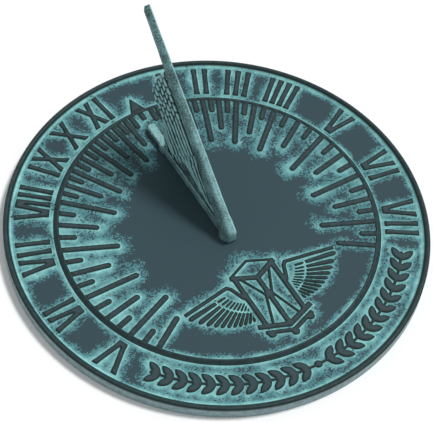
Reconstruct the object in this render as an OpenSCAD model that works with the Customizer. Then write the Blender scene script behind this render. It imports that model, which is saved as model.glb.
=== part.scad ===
// Round cast-iron sundial: a dial plate with raised hour lines, numerals and an
// emblem, and a wing-shaped gnomon that two screws hold from below.
// Millimetres, +Z up, +Y towards the noon mark. The origin is the centre of the
// plate's underside, in the plane that the plate rests on.

/* [Plate] */
// Diameter of the dial plate
plate_d = 254; // [248:1:270]
// Height of the rim above the resting plane
plate_h = 8.4; // [8.2:0.2:10]
// Thickness of the iron under the field and under the hour band
wall_t = 3; // [2.6:0.1:3.4]
// Thickness of the skirt round the hollow underside
skirt_t = 4.5; // [3:0.1:6]
// Width of the rim's flat top
rim_top_w = 2; // [1.4:0.1:3]
// Width of the slope from the rim down to the hour band
rim_slope_w = 2.6; // [1.5:0.1:3.5]
// Chamfer on the rim's outer edge
rim_chamfer = 0.7; // [0.3:0.1:1.2]
// Depth of the inner field below the rim
field_drop = 1; // [0.6:0.1:1.2]
// Depth of the hour band below the rim
band_drop = 2.2; // [1.6:0.1:2.4]
// Width of the flat hour band
band_w = 24.4; // [24:0.1:28]
// Width of the ring's slope down to the hour band
ring_slope_w = 2.5; // [1.5:0.1:3]
// Width of the flat top of the ring between band and field
ring_top_w = 0.8; // [0.6:0.1:2]
// Width of the steep inner wall of the ring
ring_wall_w = 0.5; // [0.2:0.1:1]

/* [Hour lines] */
// Latitude that the dial is laid out for, which is also the style's slope
latitude = 40.2; // [39:0.2:42]
// First hour line, in hours before noon
first_line = 7.5; // [6:0.25:7.5]
// Width of an hour line
line_w = 3.6; // [2:0.1:4]
// Length of a whole-hour line
hour_len = 33; // [26:1:36]
// Length of a half-hour line
half_len = 23; // [16:1:25]
// Length of a quarter-hour line
quarter_len = 9.4; // [6:0.2:14]
// Length of the noon line, in front of the gnomon's rear foot
noon_len = 6; // [3:0.5:7]
// Gap between the morning and the afternoon lines' centres, for the style's width
noon_gap = 5.3; // [4:0.1:6]
// Centre of the hour lines, along Y
line_centre_y = -10.5; // [-14:0.5:-8]

/* [Numerals] */
// Height of the raised numerals above the hour band
numeral_h = 1.2; // [0.8:0.1:1.5]
// Length of a numeral, from foot to head
numeral_len = 20.5; // [16:0.5:21]
// Gap between the ring's slope and a numeral's foot
numeral_gap = 2.2; // [1:0.1:3]
// Width of a numeral's stroke
stroke_w = 3.2; // [2:0.1:3.4]
// How far a stroke's flared end stands out on each side
stroke_flare = 0.35; // [0.1:0.05:0.5]
// Length of a stroke's flare
flare_len = 4.5; // [2:0.5:7]
// Width of the noon mark's base
noon_mark_w = 10; // [6:0.5:12]
// Height of the noon mark, towards the rim
noon_mark_len = 10.5; // [6:0.5:16]

/* [Laurel] */
// Leaves in each row, on each side of the foot of the dial
leaf_pairs = 12; // [6:1:13]
// Length of a leaf
leaf_len = 10.5; // [7:0.5:11]
// Width of a leaf
leaf_w = 4.8; // [3:0.1:5.5]
// Angle between neighbouring leaves
leaf_pitch = 4.1; // [3.6:0.1:4.3]
// Slant of a leaf against the stem
leaf_slant = 38; // [25:1:50]
// Width of the stem
stem_w = 1.6; // [1:0.1:2.5]

/* [Emblem] */
// Centre of the winged hourglass, along Y
emblem_y = -58; // [-60:0.5:-54]
// Half the width of the hourglass frame
frame_half_w = 15; // [13:0.5:16]
// Height of the hourglass frame's posts
post_h = 34; // [28:1:35]
// Width of a corner post
post_w = 3.4; // [2:0.1:3.6]
// How far the frame's near corner stands below its side corners
corner_drop = 6.5; // [4:0.5:7]
// Greatest width of a feather in the emblem's wings
feather_w = 3.2; // [2:0.1:3.6]
// Share of a wing's fan that its feathers fill
feather_fill = 0.74; // [0.6:0.02:0.8]
// Long feathers in a wing
feather_count = 11; // [7:1:12]
// Reach of the wing's tip feather from the middle of the fan
wing_reach = 49; // [44:0.5:50]
// Reach of the wing's lowest feather from the middle of the fan
wing_reach_low = 30; // [28:0.5:31]
// Height of the fan's middle above the emblem's centre
fan_rise = 13.5; // [12:0.5:14]

/* [Gnomon] */
// Front of the gnomon's nose, along Y
nose_y = -15.6; // [-17:0.1:-15]
// Height of the nose above the field
nose_h = 8.3; // [7:0.1:10]
// Length of the style's upper edge
style_len = 142.5; // [125:0.5:144]
// Width of the style at the nose
style_w = 5.4; // [5:0.1:6.4]
// Width of the style at its tip
tip_w = 4; // [3:0.1:5]
// Depth of the style at the nose
style_depth = 11.5; // [9:0.1:13]
// Depth of the style at its tip
tip_depth = 3.8; // [3:0.1:6]
// Chamfer on the style's upper edges and tip
style_chamfer = 1.2; // [0.4:0.1:1.4]
// Thickness of the wing plate under the style
wing_t = 3.4; // [2.6:0.1:4]
// Height of a feather above the wing plate, on each face
feather_relief = 0.6; // [0.3:0.1:0.9]
// Width of the long feathers on the gnomon
quill_w = 3.8; // [3:0.1:4.4]
// Distance between the long feathers' centres
quill_pitch = 4.7; // [4.5:0.1:5.2]
// Width of the flange along the wing's foot
flange_w = 5.4; // [4.4:0.1:7]
// Height of the flange along the wing's foot
flange_h = 5; // [3:0.1:6]
// Rear end of the flange, along Y
flange_rear_y = 62; // [60:0.5:64]
// Diameter of the flared front foot at the field
front_foot_d = 10.4; // [10:0.1:12]
// Diameter of the front foot where it runs into the style
front_foot_top_d = 5.6; // [5.2:0.1:7]
// Height of the flared front foot
front_foot_h = 5.5; // [3:0.1:7]
// Width of the low rear foot
rear_foot_w = 7.6; // [7:0.1:9]
// Height of the low rear foot
rear_foot_h = 3.6; // [3.4:0.1:5]
// Rear end of the rear foot, along Y
rear_foot_y = 82; // [79:0.5:83]

/* [Fasteners] */
// Diameter of the gnomon screws' thread
thread_d = 4; // [3:0.1:4.4]
// Radial clearance between a screw's thread and its tapped hole
thread_clearance = 0.03; // [0.01:0.01:0.1]
// Radial clearance of a screw in the plate
screw_clearance = 0.25; // [0.1:0.05:0.5]
// Diameter of the screw head
head_d = 7.8; // [7:0.1:8.2]
// Height of the screw head
head_h = 2.9; // [2:0.1:3]
// Depth of the cross in the screw head
cross_depth = 1.6; // [0.8:0.1:1.8]
// Width of the cross's slots
cross_w = 1; // [0.6:0.1:1.4]
// Length of the cross's slots
cross_len = 4.4; // [3:0.1:5]
// Thickness of a lock washer
washer_t = 0.9; // [0.6:0.1:1]
// Outer diameter of a lock washer
washer_d = 7.2; // [6.8:0.1:7.6]
// Width of the lock washer's split
washer_split = 0.8; // [0.4:0.1:1.2]
// Thread in the gnomon's front foot
front_grip = 6; // [4:0.5:8]
// Thread in the gnomon's rear foot
rear_grip = 2.2; // [1.6:0.1:2.6]
// Depth of a tapped hole past the screw's end
tap_spare = 0.4; // [0.2:0.1:0.6]
// Iron between the front screw's hole and the nose
nose_wall = 2.4; // [2:0.1:3]
// Iron between the rear screw's hole and the rear foot's end
heel_wall = 6; // [3:0.5:8]

/* [Pedestal boss] */
// Diameter of the boss under the plate's centre
boss_d = 12.4; // [9:0.1:13]
// Tapping diameter of the hole for the pedestal bolt
bolt_tap_d = 5.1; // [4:0.1:6.5]
// Depth of the hole for the pedestal bolt
bolt_depth = 5.8; // [4.5:0.1:6.4]

/* [Hidden] */
$fn = 96;

plate_r = plate_d / 2;
rim_z = plate_h;
field_z = rim_z - field_drop;
band_z = rim_z - band_drop;
band_out_r = plate_r - rim_top_w - rim_slope_w;
band_in_r = band_out_r - band_w;
ring_out_r = band_in_r - ring_slope_w;
ring_in_r = ring_out_r - ring_top_w;
field_r = ring_in_r - ring_wall_w;
hollow_r = plate_r - skirt_t;
field_under_z = field_z - wall_t;
band_under_z = band_z - wall_t;

// Relief is cast in one with the plate, so each raised shape starts inside the wall
root = 0.5;
numeral_r = band_in_r + numeral_gap;
head_r = numeral_r + numeral_len;

// Numerals: hours from noon, letters, width of the V or X, distance from its middle to the
// next I, distance between I strokes, and the small clockwise angle by which the casting
// sets the numeral off its hour line
NUMERALS = [
    [-7, "V", 16, 0, 0, 0.8],
    [-6, "VI", 11.6, 8.5, 0, 0.4],
    [-5, "VII", 12, 8.8, 6.9, 0.4],
    [-4, "VIII", 12.6, 6.8, 5, 0.6],
    [-3, "IX", 11.6, 9.4, 0, -1.2],
    [-2, "X", 13.6, 0, 0, -1],
    [-1, "XI", 10.8, 9.2, 0, 0.7],
    [1, "I", 0, 0, 0, 0],
    [2, "II", 0, 0, 6.5, 0.9],
    [3, "III", 0, 0, 6, -0.5],
    [4, "IIII", 0, 0, 5.1, -2.1],
    [5, "V", 12.8, 0, 0, -0.4],
    [6, "VI", 13.6, 10.2, 0, -0.6],
    [7, "VII", 13.4, 11, 6.5, -0.9]
];

// How far the casting sets the lines of each whole hour, from noon on, sideways off their
// true place and away from noon; the lines between two hours follow both
LINE_SET = [0, 0, 1.2, 0.4, -1.8, 0.4, -0.6, -0.6, 4.2];
// Inset of the middle of a line's rounded end
end_inset = line_w / 3;

nose_z = field_z + nose_h;
tap_d = thread_d + 2 * thread_clearance;
screw_front_y = nose_y + nose_wall + tap_d / 2;
screw_rear_y = rear_foot_y - heel_wall - tap_d / 2;
tip = style_point(style_len, 0);

// Emblem: the hourglass frame's top and foot, and the middle that the wing feathers fan from
glass_top_y = emblem_y + post_h / 2 + 3;
glass_foot_y = emblem_y - post_h / 2 + 1;
post_x = 0.85 * frame_half_w;
neck_half_w = 2;
glass_top_inset = 3.5;
glass_foot_inset = 2.5;
fan_middle = [frame_half_w / 8, emblem_y + fan_rise];
fan_shoulder = [frame_half_w + 5, fan_middle.y + 2];
fan_start = 8;
fan_spread = 50;
leading_edge_w = 2.4;
// Feathers keep this far from the frame, and short ones stand before the long ones
frame_gap = 1;
short_len = 6;
// Hourglass frame's foot: how far it reaches past the frame, its lower bar and ball feet
foot_reach = 1.2;
foot_bar_w = 0.8 * post_w;
foot_bar_share = 0.88;
foot_groove = 1.2;
foot_slope = atan(corner_drop / (foot_reach * frame_half_w));
foot_step = (post_w + foot_bar_w) / 2 / cos(foot_slope) + foot_groove;
ball_d = 5;
ball_drop = 1.2;
ball_share = 0.72;

// Gnomon's wing: its front along Y, and where it leaves the style along the style's upper edge
wing_front_y = -6;
wing_start = 12;
wing_join = 104;
// Rear outline of the wing plate, as distance along Y and height above the field
WING_REAR = [[62, 6], [63.7, 14.2], [66, 24.3], [69, 30.6], [72.8, 34], [73.8, 46],
             [73.5, 55.4], [69.5, 64]];
// Long feathers: how many, where the first begins and ends along the style, how far the
// front ends step back and how the rear ends curve in from feather to feather
quill_count = 7;
quill_from = 50;
quill_to = 100.5;
quill_back_step = 0.86;
quill_curve = 0.72;
quill_straight = 1.6;
last_quill_to = 68;
first_quill = depth_at(quill_from) + 3.4;
// Smooth blade in front of the feathers: three strips that step down and back
blade_from = 19;
blade_len = 26;
blade_step = 4;
blade_drop = 3.6;

// Point in the gnomon's plane, from its place along the style and its depth below it
function style_point(along, below) = [
    nose_y + along * cos(latitude) + below * sin(latitude),
    nose_z + along * sin(latitude) - below * cos(latitude)
];

// Depth of the style at a place along it
function depth_at(along) = style_depth + (tip_depth - style_depth) * along / style_len;

// Direction of an hour line, clockwise from noon, for hours counted from noon
function hour_angle(hours) = atan2(sin(latitude) * sin(15 * hours), cos(15 * hours));

// Where a line that leaves [x, y] at a clock angle crosses the circle of radius r
function reach(x, y, turn, r) =
    let (along = x * sin(turn) + y * cos(turn))
    -along + sqrt(along * along - x * x - y * y + r * r);

// Clock angle at which an hour line crosses the circle of radius r
function dial_angle(hours, r) =
    let (x = sign(hours) * noon_gap / 2, turn = hour_angle(hours),
         t = reach(x, line_centre_y, turn, r))
    atan2(x + t * sin(turn), line_centre_y + t * cos(turn));

// Direction of a chain of points before and after point i
function run_in(points, i) = let (d = points[max(i, 1)] - points[max(i, 1) - 1]) d / norm(d);
function run_out(points, i) =
    let (last = len(points) - 1, d = points[min(i + 1, last)] - points[min(i, last - 1)]) d / norm(d);

// One long side of a bar that follows a chain of points, with mitred corners
function bar_side(points, off) = [
    for (i = [0:len(points) - 1])
        let (a = run_in(points, i), b = run_out(points, i))
        points[i] + off / (1 + a * b) * [-a.y - b.y, a.x + b.x]
];

// A flat bar through a chain of points
module chain(points, w) {
    right = bar_side(points, -w / 2);
    polygon(concat(bar_side(points, w / 2), [for (i = [len(right) - 1:-1:0]) right[i]]));
}

// Clock angle of feather i of the emblem's fan, below the horizontal
function feather_turn(i) = fan_start + fan_spread * pow(i / (feather_count - 1), 0.9);

// A feather's outline along +X: parallel sides that round off to its tip
module feather(length, w) {
    polygon([[0, -w / 2], for (a = [-75:30:75]) [length - w * (1 - cos(a)), w / 2 * sin(a) / sin(75)],
             [0, w / 2]]);
}

// A feather of the emblem's fan, along +X from one radius to another: it fills its share of the
// angle up to the greatest width, and rounds off to its tip
module fan_feather(from, to, angle) {
    root_w = min(feather_w, 2 * from * tan(feather_fill * angle / 2));
    end_w = min(feather_w, 2 * to * tan(feather_fill * angle / 2));
    polygon([[from, -root_w / 2],
             for (a = [-75:30:75]) [to - end_w * (1 - cos(a)), end_w / 2 * sin(a) / sin(75)],
             [from, root_w / 2]]);
}

// Turns a shape to a clock angle, with +Y outwards
module at_clock(turn) {
    rotate(-turn) children();
}

// Lays an outline of the Y-Z plane across X, centred on the gnomon's plane
module across(w) {
    translate([-w / 2, 0, 0]) rotate([90, 0, 90]) linear_extrude(w) children();
}

module hour_line(hours, length) {
    x = sign(hours) * noon_gap / 2;
    shift = sign(hours) * lookup(abs(hours), [for (i = [0:len(LINE_SET) - 1]) [i, LINE_SET[i]]]);
    turn = hour_angle(hours);
    outer = reach(x, line_centre_y, turn, field_r + ring_wall_w);
    inner = reach(x, line_centre_y, turn, field_r - length) + end_inset;
    translate([x, line_centre_y]) at_clock(turn) {
        translate([shift - line_w / 2, inner]) square([line_w, outer - inner]);
        translate([shift, inner]) circle(d = line_w, $fn = 24);
    }
}

// Quarter-hour lines on both sides of noon, and the short noon line
module hour_lines() {
    for (side = [-1, 1], quarter = [1:4 * first_line]) {
        length = quarter % 4 == 0 ? hour_len : quarter % 2 == 0 ? half_len : quarter_len;
        hour_line(side * quarter / 4, length);
    }
    translate([-line_w / 2, field_r - noon_len]) square([line_w, noon_len]);
}

// One stroke from foot to head, leaning from x = foot_x to x = head_x, with flared ends
module stroke(foot_x, head_x, w) {
    lean = (head_x - foot_x) * flare_len / numeral_len;
    end_w = w / 2 + stroke_flare;
    polygon([[foot_x - end_w, numeral_r], [foot_x + end_w, numeral_r],
             [foot_x + lean + w / 2, numeral_r + flare_len],
             [head_x - lean + w / 2, head_r - flare_len],
             [head_x + end_w, head_r], [head_x - end_w, head_r],
             [head_x - lean - w / 2, head_r - flare_len],
             [foot_x + lean - w / 2, numeral_r + flare_len]]);
}

module letter(kind, w) {
    half = (w - stroke_w) / 2;
    if (kind == "I") stroke(0, 0, stroke_w);
    if (kind == "V") {
        stroke(-stroke_w / 4, -half, stroke_w);
        stroke(stroke_w / 4, half, stroke_w);
    }
    if (kind == "X") {
        stroke(-half, half, stroke_w);
        stroke(half, -half, stroke_w);
    }
}

// How far a letter's middle is from the first letter's middle
function letter_x(letters, i, lead, pitch) =
    i == 0 ? 0 : letter_x(letters, i - 1, lead, pitch)
                 + (letters[i - 1] == "I" && letters[i] == "I" ? pitch : lead);

module numeral(entry) {
    letters = entry[1];
    wide = entry[2];
    lead = entry[3];
    pitch = entry[4];
    last = len(letters) - 1;
    middle_r = numeral_r + numeral_len / 2;
    middle = dial_angle(entry[0], field_r) + entry[5];
    for (i = [0:last]) {
        offset_x = letter_x(letters, i, lead, pitch) - letter_x(letters, last, lead, pitch) / 2;
        at_clock(middle + offset_x / middle_r * 180 / PI) letter(letters[i], wide);
    }
}

// Triangle on the hour band that marks noon
module noon_mark() {
    polygon([[-noon_mark_w / 2, band_in_r - 1], [noon_mark_w / 2, band_in_r - 1],
             [0, band_in_r + noon_mark_len]]);
}

module leaf() {
    arc_r = (leaf_len * leaf_len + leaf_w * leaf_w) / (4 * leaf_w);
    shift = arc_r - leaf_w / 2;
    translate([0, leaf_len / 2]) intersection() {
        translate([-shift, 0]) circle(arc_r);
        translate([shift, 0]) circle(arc_r);
    }
}

// Two laurel branches that rise from the foot of the dial, where a motto could stand
module laurel() {
    stem_r = band_in_r + band_w / 2;
    span = leaf_pitch * (leaf_pairs + 0.5);
    intersection() {
        difference() {
            circle(stem_r + stem_w / 2);
            circle(stem_r - stem_w / 2);
        }
        polygon([[0, 0], for (i = [-4:4]) 2 * stem_r * [sin(180 + span * i / 4), cos(180 + span * i / 4)]]);
    }
    for (side = [-1, 1], i = [1:leaf_pairs]) {
        at_clock(180 + side * leaf_pitch * (i - 0.3)) translate([0, stem_r]) {
            rotate(-side * (90 - leaf_slant)) leaf();
            rotate(-side * (90 + leaf_slant)) leaf();
        }
        at_clock(180 + side * leaf_pitch * (i + 0.35)) {
            translate([0, stem_r + leaf_w]) circle(d = stem_w, $fn = 24);
            translate([0, stem_r - leaf_w]) circle(d = stem_w, $fn = 24);
        }
    }
    at_clock(180) translate([0, stem_r]) circle(d = leaf_w, $fn = 24);
}

// Wing of the emblem on the +X side: leading edge, long feathers and short ones
module emblem_wing() {
    chain([fan_middle + [wing_reach, -3], fan_middle + [0.7 * wing_reach, -0.6], fan_shoulder,
           fan_shoulder + [-2, -2], fan_shoulder + [-5, -10], fan_shoulder + [-8, -14]],
          leading_edge_w);
    intersection() {
        translate([frame_half_w + frame_gap, emblem_y - post_h]) square([wing_reach, 2 * post_h]);
        for (i = [0:feather_count - 1]) {
            share = i / (feather_count - 1);
            angle = feather_turn(i + 1) - feather_turn(i);
            far = wing_reach + (wing_reach_low - wing_reach) * pow(share, 0.8);
            near = frame_half_w + 8 - 6 * share;
            translate(fan_middle) rotate(-feather_turn(i)) {
                fan_feather(near + short_len, far, angle);
                fan_feather(near - 1, near + short_len - 1, 0.8 * angle);
            }
        }
    }
}

// Hourglass in a three-posted frame that is seen corner-on
module emblem_glass() {
    left = [-frame_half_w, 0];
    right = [frame_half_w, 0];
    near = [0, -corner_drop];
    far = [0, corner_drop];
    foot = [foot_reach * left, near, foot_reach * right];
    translate([0, glass_top_y]) {
        chain([left, near, right], post_w);
        chain([left, far, right], post_w / 2);
    }
    translate([0, glass_foot_y]) {
        chain(foot, post_w);
        translate([0, -foot_step]) chain([for (p = foot) near + foot_bar_share * (p - near)], foot_bar_w);
        for (p = foot)
            translate(near + ball_share * (p - near) - [0, foot_step + ball_drop]) circle(d = ball_d);
    }
    for (side = [-1, 1]) {
        x = side * post_x;
        chain([[x, glass_top_y], [x, glass_foot_y - corner_drop / 3]], post_w);
        chain([[0.75 * x, glass_top_y - glass_top_inset], [side * neck_half_w, emblem_y + 1],
               [0.7 * x, glass_foot_y - glass_foot_inset]], post_w / 2);
    }
    chain([near + [0, glass_top_y], near + [0, glass_foot_y]], post_w);
}

module plate_blank() {
    rotate_extrude($fn = 180) polygon([
        [0, field_under_z], [field_r, field_under_z], [band_in_r, band_under_z],
        [hollow_r, band_under_z], [hollow_r, 0], [plate_r, 0], [plate_r, rim_z - rim_chamfer],
        [plate_r - rim_chamfer, rim_z], [plate_r - rim_top_w, rim_z], [band_out_r, band_z],
        [band_in_r, band_z], [ring_out_r, rim_z], [ring_in_r, rim_z], [field_r, field_z],
        [0, field_z]
    ]);
}

module dial_plate() {
    color("darkslategray") difference() {
        union() {
            plate_blank();
            cylinder(d = boss_d, h = field_under_z + root);
            translate([0, 0, field_z - root]) linear_extrude(field_drop + root) {
                hour_lines();
                emblem_glass();
                emblem_wing();
                mirror([1, 0]) emblem_wing();
            }
            translate([0, 0, band_z - root]) linear_extrude(numeral_h + root) {
                for (entry = NUMERALS) numeral(entry);
                noon_mark();
                laurel();
            }
        }
        translate([0, 0, -1]) cylinder(d = bolt_tap_d, h = bolt_depth + 1);
        for (y = [screw_front_y, screw_rear_y])
            translate([0, y, field_under_z - 1])
                cylinder(d = thread_d + 2 * screw_clearance, h = wall_t + 2);
    }
}

// Outline of the style with its upright nose and its cut tip, down to the field
module style_outline() {
    lower_tip = style_point(style_len, tip_depth);
    lower_nose = style_point(0, style_depth);
    slope = (lower_tip.x - lower_nose.x) / (lower_tip.y - lower_nose.y);
    polygon([[nose_y, field_z], [nose_y, nose_z], style_point(style_len - style_chamfer, 0),
             style_point(style_len, style_chamfer), lower_tip,
             [lower_nose.x + (field_z - lower_nose.y) * slope, field_z]]);
}

module style() {
    taper = atan((style_w - tip_w) / 2 / style_len);
    difference() {
        intersection() {
            across(style_w) style_outline();
            linear_extrude(tip.y + 1)
                polygon([[-style_w / 2, nose_y], [style_w / 2, nose_y],
                         [tip_w / 2, tip.x], [-tip_w / 2, tip.x]]);
        }
        for (side = [-1, 1])
            translate([side * style_w / 2, nose_y, nose_z]) rotate([latitude, 0, side * taper])
                rotate([0, 45, 0])
                    cube([style_chamfer * sqrt(2), 3 * style_len, style_chamfer * sqrt(2)], center = true);
    }
}

// Wing plate under the style, down to the field
module wing_plate() {
    across(wing_t) polygon(concat(
        [[wing_front_y, field_z], [flange_rear_y, field_z]],
        [for (p = WING_REAR) p + [0, field_z]],
        [for (along = [wing_join, wing_start]) style_point(along, depth_at(along) / 2)]
    ));
}

// Long feathers that lie along the style, and the smooth blade in front of them
module quills() {
    across(wing_t + 2 * feather_relief) translate([nose_y, nose_z]) rotate(latitude) {
        for (i = [0:quill_count - 1]) {
            below = first_quill + quill_pitch * i;
            from = max(quill_from, blade_from - 2.3 + quill_back_step * below);
            to = i == quill_count - 1 ? last_quill_to
                                      : quill_to - quill_curve * pow(max(0, i - quill_straight), 1.9);
            translate([from, -below]) feather(to - from, quill_w);
        }
        for (i = [0:2])
            translate([blade_from + blade_step * i, -first_quill - blade_drop * i])
                feather(blade_len - blade_step * i, quill_w);
    }
}

module gnomon() {
    color("cadetblue") difference() {
        union() {
            style();
            wing_plate();
            quills();
            translate([-flange_w / 2, screw_front_y, field_z])
                cube([flange_w, flange_rear_y - screw_front_y, flange_h]);
            translate([0, nose_y + front_foot_d / 2, field_z])
                cylinder(d1 = front_foot_d, d2 = front_foot_top_d, h = front_foot_h);
            translate([0, 0, field_z]) linear_extrude(rear_foot_h) {
                translate([0, rear_foot_y - rear_foot_w / 2]) circle(d = rear_foot_w);
                translate([-rear_foot_w / 2, flange_rear_y - 2])
                    square([rear_foot_w, rear_foot_y - rear_foot_w / 2 - flange_rear_y + 2]);
            }
        }
        translate([0, screw_front_y, field_z - 1])
            cylinder(d = tap_d, h = front_grip + tap_spare + 1);
        translate([0, screw_rear_y, field_z - 1])
            cylinder(d = tap_d, h = rear_grip + tap_spare + 1);
    }
}

// Pan-head screw, head down, with its shank up to the given height
module gnomon_screw(grip) {
    shoulder_z = field_under_z - washer_t;
    head_round = head_h / 2;
    color("lightslategray") difference() {
        union() {
            translate([0, 0, shoulder_z]) cylinder(d = thread_d, h = washer_t + wall_t + grip);
            translate([0, 0, shoulder_z - head_h]) rotate_extrude($fn = 64) {
                translate([0, head_round]) square([head_d / 2, head_h - head_round]);
                square([head_d / 2 - head_round, head_h]);
                intersection() {
                    translate([head_d / 2 - head_round, head_round]) circle(head_round, $fn = 48);
                    square([head_d / 2, head_h]);
                }
            }
        }
        for (turn = [0, 90])
            translate([0, 0, shoulder_z - head_h + cross_depth / 2]) rotate(turn)
                cube([cross_len, cross_w, cross_depth + 0.02], center = true);
    }
}

// Split ring washer between a screw head and the plate
module lock_washer() {
    color("silver") translate([0, 0, field_under_z - washer_t]) difference() {
        cylinder(d = washer_d, h = washer_t);
        translate([0, 0, -1]) cylinder(d = thread_d + 2 * screw_clearance, h = washer_t + 2);
        translate([washer_d / 2, 0, washer_t / 2]) rotate([20, 0, 0])
            cube([washer_d, washer_split, 3 * washer_t], center = true);
    }
}

module gnomon_screw_front() {
    translate([0, screw_front_y, 0]) gnomon_screw(front_grip);
}

module gnomon_screw_rear() {
    translate([0, screw_rear_y, 0]) gnomon_screw(rear_grip);
}

module lock_washer_front() {
    translate([0, screw_front_y, 0]) lock_washer();
}

module lock_washer_rear() {
    translate([0, screw_rear_y, 0]) lock_washer();
}

dial_plate();
gnomon();
gnomon_screw_front();
gnomon_screw_rear();
lock_washer_front();
lock_washer_rear();
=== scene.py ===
"""Looks of a round cast-iron sundial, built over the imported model.

The plate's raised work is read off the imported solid, softened as sand casting leaves it,
and coloured with a verdigris wash that lies in the corners and is rubbed off the tops.
"""
import math

import bmesh
import bpy
import numpy as np
from mathutils import Matrix, Vector, noise
from mathutils.bvhtree import BVHTree
from mathutils.kdtree import KDTree


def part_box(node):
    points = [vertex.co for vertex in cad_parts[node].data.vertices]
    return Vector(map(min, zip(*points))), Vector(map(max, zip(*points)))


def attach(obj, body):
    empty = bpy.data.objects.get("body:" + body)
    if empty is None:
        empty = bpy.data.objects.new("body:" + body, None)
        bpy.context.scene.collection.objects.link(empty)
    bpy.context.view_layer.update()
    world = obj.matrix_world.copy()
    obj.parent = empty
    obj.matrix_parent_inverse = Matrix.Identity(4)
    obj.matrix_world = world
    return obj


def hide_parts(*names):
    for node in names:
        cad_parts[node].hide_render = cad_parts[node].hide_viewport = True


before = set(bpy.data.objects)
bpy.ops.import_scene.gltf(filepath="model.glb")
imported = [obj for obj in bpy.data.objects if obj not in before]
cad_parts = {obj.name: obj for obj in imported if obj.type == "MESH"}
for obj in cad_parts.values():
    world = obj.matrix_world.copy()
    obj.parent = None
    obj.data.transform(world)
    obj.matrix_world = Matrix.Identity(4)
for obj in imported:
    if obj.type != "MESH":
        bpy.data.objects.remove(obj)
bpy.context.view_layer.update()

bl_info = {
    "name": "Cast-iron sundial",
    "version": (1, 0, 0),
    "blender": (4, 5, 0),
    "location": "View3D > Sidebar > Sundial",
    "description": "Builds the visible dial plate, gnomon, fasteners and stage over the packed model",
    "category": "Object",
}

MM = 0.001

# Heights and radii of the dial plate in millimetres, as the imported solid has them
PLATE_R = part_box("dial_plate")[1].x / MM
RIM_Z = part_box("dial_plate")[1].z / MM
FIELD_Z, BAND_Z = RIM_Z - 1.0, RIM_Z - 2.2
FIELD_UNDER_Z, BAND_UNDER_Z = FIELD_Z - 3.0, BAND_Z - 3.0
RIM_CHAMFER = 0.7
RIM_OUT_R, RIM_IN_R = PLATE_R - RIM_CHAMFER, PLATE_R - 2.0
BAND_OUT_R = RIM_IN_R - 2.6
BAND_IN_R = BAND_OUT_R - 24.4
CREST_OUT_R = BAND_IN_R - 2.5
CREST_IN_R = CREST_OUT_R - 0.8
FIELD_R = CREST_IN_R - 0.5
HOLLOW_R = PLATE_R - 4.5
BOSS_R, BOLT_R, BOLT_DEPTH = 6.2, 2.55, 5.8
TOP_PROFILE = ((0, FIELD_Z), (FIELD_R, FIELD_Z), (CREST_IN_R, RIM_Z), (CREST_OUT_R, RIM_Z),
               (BAND_IN_R, BAND_Z), (BAND_OUT_R, BAND_Z), (RIM_IN_R, RIM_Z), (RIM_OUT_R, RIM_Z))
# The visible plate is two closed pieces that meet on the crest of the ring
SEAM_R = (CREST_IN_R + CREST_OUT_R) / 2
SEAM_UNDER_Z = FIELD_UNDER_Z - 0.3
RELIEF_H = {"field": 1.0, "band": 1.2}
# A hit this far below the hour band is in a hole, and not on the casting's skin
HOLE_DROP = 0.5
# Inside the first radius the field is bare, so its rings lie this far apart
BARE_R, BARE_STEP = 28, 14
# Radius at which the band's sectors are as wide as the grid
BAND_GRID_R = 110
# Spacing of the sheets' rings where the profile bends: on the crest, on its slope and on the rim
FIELD_CREST_STEP, BAND_CREST_STEP, SLOPE_STEP, RIM_STEP = 0.25, 0.2, 0.35, 0.4
# The close spacing runs this far onto the band's flat
SLOPE_MARGIN = 0.6
# Radii between which the turned profile itself is uneven, so the rings are close already
CLOSE_RINGS = ((FIELD_R + 0.4, BAND_IN_R - 1.2), (BAND_OUT_R + 0.3, PLATE_R + 1.0))
# Raised work is near where the surface within this reach steps by this height
EDGE_REACH, EDGE_STEP = 0.95, 0.3
# Vertices this close to a circle lie on it
TOUCH = 1e-3
# Edges that turn by more than this angle stay sharp
SHARP_ANGLE = math.radians(62)
# Height over which the wash fades out on the rim's inner slope and on the ring's slopes
RIM_FADE_H, RING_FADE_H = RIM_Z - BAND_Z, 0.6
# The rim's and the ring's flat tops get the painted highlight of the middle of a stroke 2.4 mm wide
CREST_HIGHLIGHT = 1.2
# A millimetre from a ring's or the rim's wall counts as this much gap, on top of this start
WALL_GAP, WALL_START = 1.3, 0.5
# Harder wiping widens the gap: by millimetres towards noon and towards the afternoon, and by a
# share round the emblem and on the band. Each has its most, and the distances from the centre at
# which it starts and is full.
WIPED_NOON, WIPED_AFTERNOON = (2.5, 20, 75), (1.3, 20, 75)
WIPED_EMBLEM, WIPED_BAND = (0.65, 20, 45), (0.3, 40, 100)
# The band as a whole was wiped harder, so its gaps count this many times over
BAND_GAP = 1.4
# Share of the relief's height above which a surface is a top
TOP_RISE = 0.8

# Sizes of the finish in millimetres: clouds that the wiping hand leaves, dabs of the sponge,
# flecks of the wash, and the tooth of the moulding sand
CLOUD, DAB, FLECK, SAND = 12, 3, 0.8, 0.7
# How far the clouds and the dabs move the wash's edge, in millimetres
CLOUD_DRIFT, DAB_DRIFT = 12.0, 4.0
# How far the dabs move the edge of the painted highlight on raised middles, and how much they thicken the
# wash
TOP_HIGHLIGHT_DRIFT, DAB_THICK = 1.6, 2.2
# On the bare underside lacquer pools more widely, and the sand's tooth is coarser
POOL, COARSE_SAND = 14, 0.9
# On the gnomon: clouds of the rubbing cloth, and the wash's grains, drawn wide enough to show
CLOTH, POWDER = 9, 0.9
# What the cloth's clouds and the grains add to the thickness of the gnomon's wash
CLOTH_THICK, POWDER_THICK = 0.7, 1.4

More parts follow.
